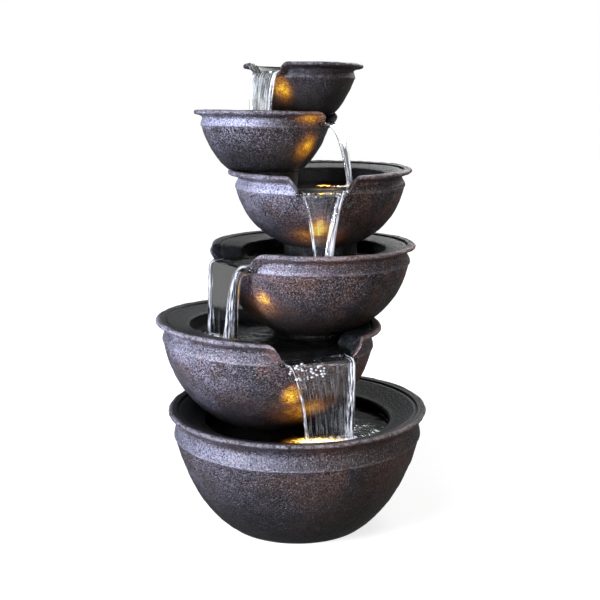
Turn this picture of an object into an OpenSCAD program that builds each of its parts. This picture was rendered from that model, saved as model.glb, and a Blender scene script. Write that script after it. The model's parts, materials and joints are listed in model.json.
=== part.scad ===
// Six-bowl cascade fountain for a table top, cast in stone-filled resin.
// Millimetres. Origin: centre of the foam pad's resting face. +Z up, -Y is the front, +X its right.

/* [Basin] */
// Outer radius of the basin's rim
basin_r = 124; // [120:1:128]
// Height of the basin's rim above the table
basin_h = 114; // [110:1:118]
// Radius of the basin's foot
foot_r = 72; // [68:1:76]
// Wall thickness of the basin
basin_wall = 7; // [6:0.5:8]
// Thickness of the foam pad under the foot
pad_h = 2; // [1.5:0.5:3]

/* [Second bowl] */
// Rim radius
bowl2_r = 111; // [108:1:114]
// Rim height
bowl2_z = 191; // [189:1:193]
// Centre of the rim, left to right
bowl2_x = -28; // [-30:1:-26]
// Centre of the rim, front to back
bowl2_y = 32; // [30:1:34]
// Direction of the spout, degrees anticlockwise from +X
bowl2_spout = -60; // [-65:1:-55]
// Width of the spout's lip
bowl2_lip = 68; // [62:1:72]

/* [Third bowl] */
// Rim radius
bowl3_r = 101; // [98:1:104]
// Rim height
bowl3_z = 265; // [263:1:267]
// Centre of the rim, left to right
bowl3_x = 16.5; // [15:0.5:18]
// Centre of the rim, front to back
bowl3_y = 54; // [52:1:56]
// Direction of the spout
bowl3_spout = 215; // [210:1:220]
// Width of the spout's lip
bowl3_lip = 64; // [58:1:68]

/* [Fourth bowl] */
// Rim radius
bowl4_r = 93; // [90:1:95]
// Rim height
bowl4_z = 336; // [334:1:338]
// Centre of the rim, left to right
bowl4_x = 23; // [21:1:25]
// Centre of the rim, front to back
bowl4_y = 87; // [85:1:89]
// Direction of the spout
bowl4_spout = -89; // [-94:1:-84]
// Width of the spout's lip
bowl4_lip = 46; // [42:1:52]

/* [Fifth bowl] */
// Rim radius
bowl5_r = 72.5; // [71:0.5:74]
// Rim height
bowl5_z = 393; // [391:1:395]
// Centre of the rim, left to right
bowl5_x = -33; // [-34:1:-32]
// Centre of the rim, front to back
bowl5_y = 105; // [104:1:106]
// Direction of the spout
bowl5_spout = -17; // [-20:1:-14]
// Width of the spout's lip
bowl5_lip = 36; // [32:1:38]

/* [Top bowl] */
// Rim radius
bowl6_r = 61.5; // [60:0.5:63]
// Rim height
bowl6_z = 440; // [438:1:442]
// Centre of the rim, left to right
bowl6_x = 6; // [5:1:7]
// Centre of the rim, front to back
bowl6_y = 119; // [118:1:120]
// Direction of the spout
bowl6_spout = 230; // [225:1:235]
// Width of the spout's lip
bowl6_lip = 35; // [30:1:38]

/* [Pump and lights] */
// Radius of the impeller
impeller_r = 11; // [10:0.5:11.5]
// Outer radius of the water hose
hose_r = 6.5; // [6.2:0.1:7]
// Radius of a lamp's housing
lamp_r = 9; // [8:0.5:10]
// Gap between a piece that moves and its neighbour
running_gap = 0.05; // [0.03:0.01:0.08]

/* [Hidden] */
$fn = 96;
LAMPS = [1:5];

// One row a bowl: [x, y, rim z, rim radius, base z, base radius, band height, lip depth,
//   spout direction, lip width, lean to the right, lean to the front, overhang of the rim, fullness]
wall = 4;
BOWLS = [
    [0, 0, basin_h, basin_r, pad_h, foot_r + 4, 27, 0, 0, 0, 0, 0, 5, 0.68],
    [bowl2_x, bowl2_y, bowl2_z, bowl2_r, 90, 45, 22, 19.5, bowl2_spout, bowl2_lip, 2.3, 0, 7, 0.83],
    [bowl3_x, bowl3_y, bowl3_z, bowl3_r, 179, 43, 19, 16.5, bowl3_spout, bowl3_lip, 0.3, 0.8, 5, 0.83],
    [bowl4_x, bowl4_y, bowl4_z, bowl4_r, 261.5, 41, 18, 17.5, bowl4_spout, bowl4_lip, -0.5, 2.2, 6.5, 0.84],
    [bowl5_x, bowl5_y, bowl5_z, bowl5_r, 333.5, 37, 16, 13, bowl5_spout, bowl5_lip, 0.9, 0, 6.5, 0.67],
    [bowl6_x, bowl6_y, bowl6_z, bowl6_r, 391, 32, 15, 11, bowl6_spout, bowl6_lip, 0, 0, 8, 0.60]];
function bowl_r(k) = BOWLS[k][3];
function base_z(k) = BOWLS[k][4];
function base_r(k) = BOWLS[k][5];
function band(k) = BOWLS[k][6];
function lip_depth(k) = BOWLS[k][7];
function spout(k) = BOWLS[k][8];
function height(k) = BOWLS[k][2] - base_z(k);
function ridge_r(k) = BOWLS[k][3] - BOWLS[k][12];
function fullness(k) = BOWLS[k][13];
// A bowl leans about the middle of its base, which therefore stands a little off the rim's centre.
function base_x(k) = BOWLS[k][0] - height(k) * sin(BOWLS[k][10]);
function base_y(k) = BOWLS[k][1] + height(k) * sin(BOWLS[k][11]);

last = 5;             // index of the top bowl
seat_gap = 0.6;       // between a bowl and the recess that it stands in
skirt = 3;            // what a leaning bowl has below its base before it is cut level
foot_ring = 11;       // width of the ring that a bowl stands on
pool_depth = 15;      // below the lip of the spout
crease = 1;           // step from the raised band's lower edge in to the body below it
neck_draw = 6;        // how far the curve of the hollow under the rim is drawn in from the band
pool_share = 0.70;    // radius of the pool's edge
shelf_drop = 5;       // how far the pool's edge lies below the rim
flare_share = 0.15;   // how much wider a spout is at the rim than at its lip, on each side

function bezier(a, b, c, n = 7) =
    [for (i = [0:n]) let (t = i / n) pow(1 - t, 2) * a + 2 * t * (1 - t) * b + pow(t, 2) * c];
function reversed(list) = [for (i = [len(list) - 1:-1:0]) list[i]];

// The side of a bowl from its base up to the crease below the band.
function side(k, grow = 0) =
    let (r0 = base_r(k) + grow, r1 = ridge_r(k) - crease + grow, z0 = k == 0 ? 4 : 0,
         z1 = height(k) - band(k))
    bezier([r0, z0], [r0 + fullness(k) * (r1 - r0), z0 + 0.33 * (z1 - z0)], [r1, z1]);

// The raised band, the hollow neck and the turned-out lip.
function collar(k, grow = 0) =
    let (r = bowl_r(k), h = height(k), b = band(k))
    concat(bezier([ridge_r(k) + grow, h - 0.93 * b], [ridge_r(k) - neck_draw + grow, h - 0.6 * b],
                  [r - 0.8 + grow, h - 4.5], 6),
           [[r + grow, h - 3.2], [r + grow, h - 1.5], [r - 1.4 + grow, h]]);

// The flat of the rim, its small step and the shelf down to the pool's edge.
function shelf(r, h, edge_r, drop) =
    [[r - 8.5, h - 0.6], [r - 9.7, h - 2.2], [edge_r + 2, h - drop], [edge_r, h - drop - 1.5]];

// How deep the rim is solid: enough for the seat of the bowl above.
function rim_solid(k) = max(10, k < last ? BOWLS[k][2] - base_z(k + 1) + wall + 1 : 0);

// The hollow under the pool, open at the base. It reaches up round the pool where there is room.
function chamber(k) =
    let (r = bowl_r(k), h = height(k), under_pool = h - lip_depth(k) - pool_depth - wall,
         under_rim = h - rim_solid(k), pool_r = (pool_share - 0.05) * r,
         inner_r = pool_share * r + wall, outer_r = ridge_r(k) - neck_draw / 2 - wall,
         roomy = outer_r - inner_r > 4, ceiling = roomy ? under_rim : under_pool)
    concat([[0, under_pool], [pool_r + (roomy ? wall - 2 : -6), under_pool]],
           roomy ? [[inner_r, under_rim], [outer_r, under_rim]] : [],
           [for (p = reversed(side(k))) if (p[1] < ceiling - 4 && p[1] > 7) [p[0] - 1.4 * wall, p[1]]],
           [[base_r(k) - 1.4 * wall + 3, 6], [base_r(k) - foot_ring, 6], [base_r(k) - foot_ring, -skirt]]);

module in_bowl(k) {
    translate([base_x(k), base_y(k), base_z(k)]) rotate([BOWLS[k][11], BOWLS[k][10], 0]) children();
}

// The whole outside of a bowl as a full solid, to clip posts and to cut the seat below it.
module bowl_outside(k, grow = 0) {
    in_bowl(k) rotate_extrude()
        polygon(concat([[0, -skirt], [base_r(k) + grow, -skirt]], side(k, grow), collar(k, grow),
                       [[bowl_r(k) - 1.4 + grow, height(k) + 12], [0, height(k) + 12]]));
}

module bowl_shell(k) {
    r = bowl_r(k);
    h = height(k);
    floor_z = h - lip_depth(k) - pool_depth;
    pool_r = (pool_share - 0.05) * r;
    in_bowl(k) rotate_extrude()
        polygon(concat([[base_r(k), -skirt]], side(k), collar(k),
                       shelf(r, h, pool_share * r, shelf_drop),
                       [[pool_r, floor_z + 3], [pool_r - 3, floor_z], [0, floor_z]], chamber(k)));
}

// The opening of a spout: level at the lip, with cheeks that round out towards the rim.
module spout_cut(k) {
    h = height(k);
    lip_z = h - lip_depth(k);
    half = BOWLS[k][9] / 2;
    flare = flare_share * bowl_r(k);
    cheek = bezier([half, lip_z + 3], [half + 0.15 * flare, h - 1], [half + flare, h + 0.5], 5);
    edge = concat([[half - 3, lip_z]], cheek, [[half + flare, h + 12]]);
    in_bowl(k) rotate([0, 0, spout(k)]) translate([0.62 * bowl_r(k), 0, 0]) rotate([90, 0, 90])
        linear_extrude(0.6 * bowl_r(k))
            polygon(concat(edge, [for (p = reversed(edge)) [-p[0], p[1]]]));
}

// Solid ground for the spout, from under its lip up to the rim.
module chute(k) {
    wide = BOWLS[k][9] + 2 * (flare_share * bowl_r(k) + wall);
    intersection() {
        in_bowl(k) rotate([0, 0, spout(k)])
            translate([(pool_share - 0.02) * bowl_r(k), -wide / 2, height(k) - lip_depth(k) - wall])
            cube([bowl_r(k), wide, lip_depth(k) + wall - 1]);
        bowl_outside(k, -1);
    }
}

// The post that carries the next bowl, from this bowl's pool floor up to that bowl's base.
module post(k) {
    bottom = base_z(k) + height(k) - lip_depth(k) - pool_depth - 2;
    intersection() {
        translate([base_x(k + 1), base_y(k + 1), bottom])
            cylinder(r = base_r(k + 1) - 3, h = base_z(k + 1) - bottom);
        bowl_outside(k, -1.5);
    }
}

// The way up through the post for the hose and the lamps' wires.
module post_hollow(k) {
    intersection() {
        translate([base_x(k + 1), base_y(k + 1), base_z(k) + 15])
            cylinder(r = base_r(k + 1) - 3 - wall, h = base_z(k + 1) - base_z(k));
        bowl_outside(k, -2 * wall);
    }
}

module bowl(k, tint) {
    color(tint) difference() {
        union() {
            bowl_shell(k);
            chute(k);
            if (k < last) post(k);
        }
        translate([-300, -300, base_z(k) - 50]) cube([600, 600, 50]);
        spout_cut(k);
        if (k < last) {
            bowl_outside_above(k + 1);
            post_hollow(k);
        }
        if (k == last)
            translate([HOSE_TOP[0], HOSE_TOP[1], base_z(k) + 2]) cylinder(r = grommet_bore_r, h = 40);
    }
}

// Room for the bowl above, from the level of its base upwards.
module bowl_outside_above(k) {
    intersection() {
        bowl_outside(k, seat_gap);
        translate([base_x(k) - 150, base_y(k) - 150, base_z(k)]) cube([300, 300, 60]);
    }
}

/* Basin */
floor_h = 12;         // top of the basin's floor
shelf_drop_basin = 12;
basin_pool_share = 0.72;
brink_h = 8;         // height of the wall that drops from the shelf to below the water
gland_z = 96;
gland_turn = -30;     // from straight back, round towards the right
gland_hole_r = 5;
lamp_stand_top = 78;

module basin() {
    r = basin_r;
    h = basin_h - pad_h;
    edge_r = basin_pool_share * r;
    inside = [for (p = reversed(side(0))) if (p[1] > floor_h) [p[0] - basin_wall * 1.1, p[1]]];
    color([0.20, 0.17, 0.17]) translate([0, 0, pad_h]) difference() {
        union() {
            rotate_extrude() polygon(concat(
                [[0, 0], [foot_r - 1, 0], [foot_r + 3, 1.2]], side(0), collar(0),
                shelf(r, h, edge_r, shelf_drop_basin),
                [[edge_r, h - shelf_drop_basin - brink_h],
                 [ridge_r(0) - 14, h - shelf_drop_basin - brink_h - 2]], inside,
                [[foot_r + 4, floor_h - pad_h], [0, floor_h - pad_h]]));
            translate([lamp_x(1), lamp_y(1), floor_h - pad_h - 1])
                cylinder(r = lamp_r + 2, h = lamp_stand_top - floor_h + 1);
        }
        rotate([0, 0, gland_turn]) translate([0, edge_r - 12, gland_z - pad_h]) rotate([-90, 0, 0])
            cylinder(r = gland_hole_r, h = 60);
        translate([0, 0, -pad_h]) bowl_outside_above_basin();
    }
}

// The shelf is cut back where the second bowl dips past it, with room to lift the stack out.
module bowl_outside_above_basin() {
    intersection() {
        bowl_outside(1, 2);
        translate([-200, -200, base_z(1) - 2]) cube([400, 400, 40]);
    }
}

module base_pad() {
    color([0.1, 0.1, 0.1]) cylinder(r = foot_r - 3, h = pad_h);
}

// Rubber gland for the supply lead, in the back of the basin above the water.
module cable_gland() {
    y_in = basin_pool_share * basin_r - 2;
    y_out = ridge_r(0) + 1;
    flange_h = 3;
    nut_h = 8;
    color([0.08, 0.08, 0.08])
        rotate([0, 0, gland_turn]) translate([0, 0, gland_z]) rotate([-90, 0, 0]) difference() {
            union() {
                translate([0, 0, y_in]) cylinder(r = gland_hole_r, h = y_out - y_in);
                translate([0, 0, y_out]) cylinder(r1 = 7.5, r2 = 4.5, h = nut_h);
                translate([0, 0, y_in - flange_h]) cylinder(r = 6, h = flange_h);
            }
            translate([0, 0, y_in - flange_h - 2]) cylinder(r = lead_r + 0.6, h = 60);
        }
}

/* Pump pedestal: carries the whole stack on the basin's floor and hides the pump */
pedestal_r = 40;
pedestal_wall = 5;

module pump_pedestal() {
    tall = base_z(1) - floor_h;
    color([0.16, 0.14, 0.14]) intersection() {
        translate([base_x(1), base_y(1), floor_h]) difference() {
            rotate_extrude() polygon([[pedestal_r - pedestal_wall, 0], [pedestal_r, 0], [pedestal_r, tall],
                [pedestal_r - 8, tall], [pedestal_r - 8, tall - 4], [pedestal_r - pedestal_wall, tall - 8]]);
            for (turn = [-90, 30, 150]) rotate([0, 0, turn]) translate([0, 0, -1]) arch(44, 50);
        }
        rotate_extrude() polygon(concat([[0, floor_h], [foot_r + 3, floor_h]],
            [for (p = side(0)) if (p[1] > floor_h) [p[0] - basin_wall - 2, p[1] + pad_h]], [[0, basin_h]]));
    }
}

// An arched opening, from the middle outwards along +X.
module arch(wide, tall) {
    rotate([90, 0, 90]) linear_extrude(60) union() {
        translate([-wide / 2, 0]) square([wide, tall - wide / 2]);
        translate([0, tall - wide / 2]) circle(r = wide / 2);
    }
}

/* Hose from the pump to the top bowl, a route of points hand-picked inside the hollow bowls */
pump_x = base_x(1);
pump_y = base_y(1);
axis_z = 32;          // height of the rotor's axis
nozzle_y = pump_y - 11;
nozzle_root = axis_z + 9;
nozzle_top = 66;
nozzle_collar_r = 5.8;
nozzle_collar_h = 12;
HOSE_TOP = [-4, 117];
HOSE_KNOTS = [
    [pump_x, nozzle_y, 56], [pump_x, nozzle_y, 64], [pump_x, nozzle_y, 73], [-29, 26, 92], [-15, 38, 118],
    [-2, 46, 136], [2, 48, 150], [2, 48, 166], [2, 48, 178], [5, 55, 194], [12, 69, 210], [16, 76, 224],
    [16, 76, 240], [16, 76, 263], [13, 80, 271], [2, 90, 280], [-11, 99, 288], [-17, 103, 298],
    [-17, 103, 314], [-17, 103, 335], [-15, 106, 343], [-8, 113, 352], [-4, 117, 362], [-4, 117, 378],
    [-4, 117, 398], [HOSE_TOP[0], HOSE_TOP[1], 418]];
hose_sides = 10;
hose_bore = 5;

// Points of a smooth curve through the knots (Catmull-Rom), steps to each stretch.
function through(knots, steps) =
    let (n = len(knots))
    concat([for (i = [0:n - 2]) for (j = [0:steps - 1])
        let (t = j / steps, a = knots[max(i - 1, 0)], b = knots[i], c = knots[i + 1],
             d = knots[min(i + 2, n - 1)])
        0.5 * (2 * b + (c - a) * t + (2 * a - 5 * b + 4 * c - d) * t * t
               + (3 * b - a - 3 * c + d) * t * t * t)], [knots[n - 1]]);
function unit(v) = v / norm(v);
function heading(path, i) = unit(path[min(i + 1, len(path) - 1)] - path[max(i - 1, 0)]);
// A ring of points round the path at i, square to it, turned from a fixed side direction.
function ring(path, i, r, sides, side_dir) =
    let (d = heading(path, i), u = unit(cross(side_dir, d)), v = cross(d, u))
    [for (s = [0:sides - 1]) let (a = 360 * s / sides) path[i] + r * (cos(a) * u + sin(a) * v)];

// A pipe along the path, or a solid rod when bore is 0.
module swept(path, r, bore, sides, side_dir) {
    n = len(path);
    outer = [for (i = [0:n - 1]) for (p = ring(path, i, r, sides, side_dir)) p];
    inner = bore > 0 ? [for (i = [0:n - 1]) for (p = ring(path, i, bore, sides, side_dir)) p] : [];
    m = n * sides;
    walls = [for (i = [0:n - 2]) for (s = [0:sides - 1])
        let (a = i * sides + s, b = i * sides + (s + 1) % sides)
        each [[a, a + sides, b], [b, a + sides, b + sides]]];
    bores = bore > 0 ? [for (f = walls) [f[2] + m, f[1] + m, f[0] + m]] : [];
    e = (n - 1) * sides;
    ends = bore > 0
        ? [for (s = [0:sides - 1]) let (t = (s + 1) % sides)
            each [[s, t, s + m], [t, t + m, s + m], [e + s, e + s + m, e + t], [e + t, e + s + m, e + t + m]]]
        : [[for (s = [0:sides - 1]) s], [for (s = [sides - 1:-1:0]) e + s]];
    polyhedron(points = concat(outer, inner), faces = concat(walls, bores, ends), convexity = 6);
}

module riser_hose() {
    color([0.85, 0.87, 0.88]) swept(through(HOSE_KNOTS, 2), hose_r, hose_bore, hose_sides, [1, 0, 0]);
}

// Rubber grommet that seals the hose in the floor of the top bowl.
grommet_bore_r = 9;
top_floor_z = base_z(last) + height(last) - lip_depth(last) - pool_depth;

module hose_grommet() {
    color([0.07, 0.07, 0.07]) translate([HOSE_TOP[0], HOSE_TOP[1], top_floor_z]) difference() {
        union() {
            translate([0, 0, -wall - 2]) cylinder(r = grommet_bore_r, h = wall + 3);
            cylinder(r = grommet_bore_r + 2.5, h = 2);
        }
        translate([0, 0, -20]) cylinder(r = hose_r, h = 40);
    }
}

/* Lamps: one in each pool, in front of the bowl above */
lamp_share = 0.86; // distance from the upper bowl's centre, as a share of its rim radius
lamp_h = 7;
function lamp_x(k) = BOWLS[k][0] + lamp_share * bowl_r(k) * cos(spout(k)) - base_x(k - 1);
function lamp_y(k) = BOWLS[k][1] + lamp_share * bowl_r(k) * sin(spout(k)) - base_y(k - 1);
function lamp_floor(k) = k == 1 ? lamp_stand_top : height(k - 1) - lip_depth(k - 1) - pool_depth;

// A lamp leans with the bowl that it stands in.
module at_lamp(k) {
    in_bowl(k - 1) translate([lamp_x(k), lamp_y(k), lamp_floor(k)]) children();
}

module lamp_housing(k) {
    color([0.12, 0.12, 0.13]) at_lamp(k) difference() {
        cylinder(r = lamp_r, h = lamp_h);
        translate([0, 0, 2]) cylinder(r = lamp_r - 1.5, h = lamp_h);
    }
}

module lamp_board(k) {
    color([0.95, 0.95, 0.9]) at_lamp(k) union() {
        translate([0, 0, 2]) cylinder(r = lamp_r - 1.6, h = 1.2);
        for (turn = [0:120:240])
            rotate([0, 0, turn]) translate([3.4, 0, 3.8]) cube([2.8, 2.8, 1.2], center = true);
    }
}

module lamp_lens(k) {
    color([1, 0.85, 0.5, 0.6]) at_lamp(k) rotate_extrude() polygon(concat(
        [[0, lamp_h - 2], [lamp_r - 1.6, lamp_h - 2]],
        bezier([lamp_r - 1.6, lamp_h], [lamp_r - 2.6, lamp_h + 2], [0, lamp_h + 2.2], 6)));
}

/* Pump: the rotor's axis runs front to back */
body_w = 38;
body_h = 31;
plate_t = 3;          // thickness of the volute's flange
rotor_well_r = 7.2;
inlet_r = 5;
screw_r = 1.2;
body_back = pump_y + 22;
body_front = pump_y - 4;
volute_front = pump_y - 17;
volute_r = 15;
cover_front = pump_y - 25;
cup_top = floor_h + 5;

// Turns a cylinder's axis to the back, with its start at y.
module along_y(y) {
    translate([pump_x, y, axis_z]) rotate([-90, 0, 0]) children();
}

module pump_body() {
    color([0.1, 0.1, 0.11]) difference() {
        union() {
            translate([pump_x - body_w / 2, body_front, cup_top])
                cube([body_w, body_back - body_front, body_h]);
            along_y(body_front - 1.5) cylinder(r = volute_r - 2.1, h = 3);
        }
        along_y(body_front - 3) cylinder(r = rotor_well_r, h = 23);
        along_y(body_front + 19) cylinder(r = 2.5, h = 4);
        translate([pump_x - coil_w / 2, body_front + 6, coil_z - 3.5]) cube([coil_w, 14, 7]);
        translate([pump_x + 10, body_back - 8, lead_z]) rotate([-90, 0, 0])
            cylinder(r = lead_r + 0.1, h = 12);
        for (p = SCREWS) along_y(body_front - plate_t)
            translate([p[0], p[1], 0]) cylinder(r = screw_r + 0.1, h = 11);
    }
}

coil_w = 26;
coil_z = cup_top + 26.9;
lead_z = cup_top + 26;

// Copper winding on its bobbin, potted in the body above the rotor's well.
module pump_coil() {
    color([0.72, 0.42, 0.2]) translate([pump_x, body_front + 13, coil_z]) union() {
        rotate([0, 90, 0]) cylinder(r = 3.2, h = coil_w - 3, center = true);
        for (end = [-1, 1]) translate([end * (coil_w / 2 - 1), 0, 0]) cube([1.6, 13, 6.8], center = true);
    }
}

SCREWS = [[-15.5, -11], [15.5, -11], [-15.5, 10], [15.5, 10]];

module pump_volute() {
    depth = body_front - volute_front;
    color([0.13, 0.13, 0.14]) difference() {
        union() {
            along_y(volute_front) cylinder(r = volute_r, h = depth);
            translate([pump_x - body_w / 2, body_front - plate_t, cup_top]) cube([body_w, plate_t, body_h]);
            translate([pump_x, nozzle_y, nozzle_root]) cylinder(r = nozzle_collar_r, h = nozzle_collar_h);
            translate([pump_x, nozzle_y, nozzle_root]) cylinder(r = 4.5, h = nozzle_top - nozzle_root);
        }
        along_y(volute_front + 2) cylinder(r = impeller_r + 1.2, h = depth);
        along_y(body_front - 3.5) cylinder(r = volute_r - 2, h = 4);
        along_y(volute_front - 1) cylinder(r = inlet_r, h = 4);
        translate([pump_x, nozzle_y, axis_z + 5]) cylinder(r = 3.2, h = 60);
        for (p = SCREWS) along_y(body_front - plate_t - 1)
            translate([p[0], p[1], 0]) cylinder(r = screw_r + 0.4, h = 5);
    }
    color([0.13, 0.13, 0.14]) along_y(volute_front) difference() {
        union() {
            cylinder(r = 2.4, h = 2);
            for (turn = [0:120:240])
                rotate([0, 0, turn]) translate([1.5, -0.6, 0]) cube([inlet_r - 0.8, 1.2, 2]);
        }
        translate([0, 0, 0.6]) cylinder(r = 1.8, h = 5);
    }
}

module volute_seal() {
    color([0.05, 0.05, 0.05]) along_y(body_front - 2.4)
        rotate_extrude() translate([volute_r - 3.1, 0]) circle(r = 0.85);
}

module volute_screws() {
    color([0.75, 0.75, 0.77])
        for (p = SCREWS) along_y(body_front - 5) translate([p[0], p[1], 0]) difference() {
            union() {
                cylinder(r = 2.6, h = 2);
                translate([0, 0, 2]) cylinder(r = screw_r, h = 9);
            }
            translate([-2, -0.3, -1]) cube([4, 0.6, 1.6]);
        }
}

// Slotted cover over the intake, which pulls forwards off the volute.
module pump_intake_cover() {
    w = body_w - 2;
    color([0.15, 0.15, 0.16]) difference() {
        translate([pump_x - w / 2, cover_front, cup_top + 1]) cube([w, body_front - 6 - cover_front, 29]);
        translate([pump_x - w / 2 + 2, cover_front + 2, cup_top + 3]) cube([w - 4, 30, 25]);
        translate([pump_x, nozzle_y, cup_top + 20]) cylinder(r = 7.5, h = 20);
        translate([pump_x - 7.5, nozzle_y, cup_top + 20]) cube([15, 20, 20]);
        for (i = [-5:5]) if (abs(i) > 2)
            translate([pump_x + 3 * i - 0.7, cover_front - 1, cup_top + 5]) cube([1.4, 5, 21]);
        along_y(cover_front - 1) cylinder(r = 4, h = 5);
        along_y(volute_front - 0.4) cylinder(r = volute_r + 0.4, h = 20);
    }
}

module intake_foam() {
    color([0.05, 0.05, 0.06]) difference() {
        translate([pump_x - 15.5, cover_front + 2.4, cup_top + 4]) cube([31, 4.4, 23]);
        along_y(cover_front) cylinder(r = 5, h = 12);
    }
}

// The dial that throttles the intake, on the front of the cover.
module flow_dial() {
    color([0.75, 0.76, 0.78]) along_y(cover_front) difference() {
        union() {
            translate([0, 0, -2.2]) cylinder(r = 7.5, h = 2.1);
            translate([0, 0, -2.2]) cylinder(r = 4 - running_gap, h = 4.4);
            translate([-1.2, -11, -2.2]) cube([2.4, 6, 2.1]);
        }
        for (turn = [45:90:315]) rotate([0, 0, turn]) translate([5.6, 0, -4]) cylinder(r = 1.3, h = 8);
    }
}

module impeller() {
    shaft_bore = 1 + running_gap;
    color([0.92, 0.92, 0.9]) along_y(volute_front + 3.5) difference() {
        union() {
            cylinder(r = 3.4, h = 8.7);
            translate([0, 0, 5.5]) cylinder(r = impeller_r, h = 1.2);
            for (turn = [0:60:300])
                rotate([0, 0, turn]) translate([2.5, -0.5, 0]) cube([impeller_r - 3, 1, 6]);
        }
        translate([0, 0, -5]) cylinder(r = shaft_bore, h = 20);
    }
}

module rotor_magnet() {
    color([0.25, 0.24, 0.24]) along_y(volute_front + 12.2) difference() {
        cylinder(r = 6.4, h = 17.5);
        translate([0, 0, -1]) cylinder(r = 1 + running_gap, h = 20);
    }
}

module rotor_shaft() {
    color([0.95, 0.95, 0.93]) along_y(volute_front + 0.9) cylinder(r = 1, h = 33);
}

// Two rubber bushes that hold the ends of the fixed ceramic shaft.
module shaft_bushes() {
    color([0.05, 0.05, 0.05]) {
        along_y(volute_front + 0.6) difference() {
            cylinder(r = 1.8, h = 2.6);
            translate([0, 0, 0.3]) cylinder(r = 1, h = 4);
        }
        along_y(volute_front + 31) difference() {
            cylinder(r = 2.5, h = 4);
            translate([0, 0, -1]) cylinder(r = 1, h = 3.9);
        }
    }
}

module suction_cups() {
    cup = [[0, 1.2], [3.5, 0], [5.2, 0], [5.4, 0.6], [2.4, 3], [2.4, 5], [0, 5]];
    color([0.06, 0.06, 0.06])
        for (dx = [-13, 13], dy = [1, 17])
            translate([pump_x + dx, pump_y + dy, floor_h]) rotate_extrude() polygon(cup);
}

lead_r = 1.9;

// The pump's own lead, laid inside the basin from the pump up to the gland.
LEAD_KNOTS = [
    [pump_x + 10, body_back - 6, lead_z], [pump_x + 10, body_back, lead_z],
    [pump_x + 10, body_back + 3, lead_z], [-17, 61, 39], [-8, 61, 34], [1, 61, 28], [14, 63, 26],
    [27, 65, 34], [34, 65, 50], [37, 65, 70],
    [38, 66, gland_z - 13], [39.5, 68.4, gland_z - 3], [41.5, 71.9, gland_z], [46, 79.7, gland_z],
    [52, 90.1, gland_z]];

module pump_lead() {
    // The side direction is never along the route, so the rings don't twist.
    color([0.06, 0.06, 0.06]) swept(through(LEAD_KNOTS, 3), lead_r, 0, 8, [1, -1, 0]);
}

basin();
base_pad();
cable_gland();
bowl(1, [0.21, 0.18, 0.18]);  // bowl_2
bowl(2, [0.21, 0.18, 0.18]);  // bowl_3
bowl(3, [0.21, 0.18, 0.18]);  // bowl_4
bowl(4, [0.21, 0.18, 0.18]);  // bowl_5
bowl(5, [0.21, 0.18, 0.18]);  // bowl_6
pump_pedestal();
riser_hose();
hose_grommet();
for (k = LAMPS) {
    lamp_housing(k);
    lamp_board(k);
    lamp_lens(k);
}
pump_body();
pump_coil();
pump_volute();
volute_seal();
volute_screws();
pump_intake_cover();
intake_foam();
flow_dial();
impeller();
rotor_magnet();
rotor_shaft();
shaft_bushes();
suction_cups();
pump_lead();
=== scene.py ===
"""Six-bowl cascade fountain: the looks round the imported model, in metres.

The tables of shape are in millimetres and degrees, and so are all places before a mesh is made.
"""

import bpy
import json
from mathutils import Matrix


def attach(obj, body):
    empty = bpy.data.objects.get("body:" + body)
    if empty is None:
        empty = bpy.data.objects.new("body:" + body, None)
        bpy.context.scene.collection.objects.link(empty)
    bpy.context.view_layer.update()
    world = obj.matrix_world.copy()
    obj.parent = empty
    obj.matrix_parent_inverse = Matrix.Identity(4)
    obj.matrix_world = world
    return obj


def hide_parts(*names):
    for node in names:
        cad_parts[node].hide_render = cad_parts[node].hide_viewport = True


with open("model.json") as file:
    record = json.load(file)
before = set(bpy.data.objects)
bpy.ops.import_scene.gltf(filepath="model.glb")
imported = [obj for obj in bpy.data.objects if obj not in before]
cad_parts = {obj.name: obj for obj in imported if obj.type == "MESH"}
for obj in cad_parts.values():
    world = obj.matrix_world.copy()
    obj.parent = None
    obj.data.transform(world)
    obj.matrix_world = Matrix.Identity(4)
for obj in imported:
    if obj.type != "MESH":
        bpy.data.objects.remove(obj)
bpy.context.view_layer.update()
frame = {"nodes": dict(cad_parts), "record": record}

import json
import math

import bpy
import numpy as np
from mathutils import Vector

MM = 0.001
# Columns and rows of the meshes: bowls, pools and falls
COLUMNS = 480
POOL_COLUMNS, POOL_ROWS = 288, 64
FALL_COLUMNS, FALL_ROWS, CHANNEL_ROWS = 41, 84, 14

# x, y and height of the rim's centre, rim radius, height and radius of the base, height of the raised
# band, depth of the spout's lip below the rim, direction and width of the spout, lean to the right and
# to the front, overhang of the rim, fullness of the side
BOWLS = [
    (0, 0, 114, 124, 2, 76, 27, 0, 0, 0, 0, 0, 5, 0.68),
    (-28, 32, 191, 111, 90, 45, 22, 19.5, -62, 72, 2.3, 0, 7, 0.83),
    (16.5, 54, 265, 101, 179, 43, 19, 16.5, 215, 64, 0.3, 0.8, 5, 0.83),
    (23, 87, 336, 93, 261.5, 41, 18, 17.5, -89, 46, -0.5, 2.2, 6.5, 0.84),
    (-33, 105, 393, 72.5, 333.5, 37, 16, 13, -17, 36, 0.9, 0, 6.5, 0.67),
    (6, 119, 440, 61.5, 391, 32, 15, 11, 230, 35, 0, 0, 8, 0.60),
]
NAMES = ["basin", "bowl_2", "bowl_3", "bowl_4", "bowl_5", "bowl_6"]
BODIES = ["basin", "stack", "stack", "stack", "stack", "stack"]
# How far the rim's ends beside a spout roll outwards, as a share of the rim's radius, and how far down
LAPEL_OUT = 0.039
LAPEL_DOWN = 0.8
# Wall of the basin under its shelf, and clearance between a bowl and the one that stands in it
BASIN_WALL = 8
SEAT_GAP = 0.8
# Height of the water in each bowl above the table
LEVELS = [94, 175.5, 251.5, 319, 382.5, 432]
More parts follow.
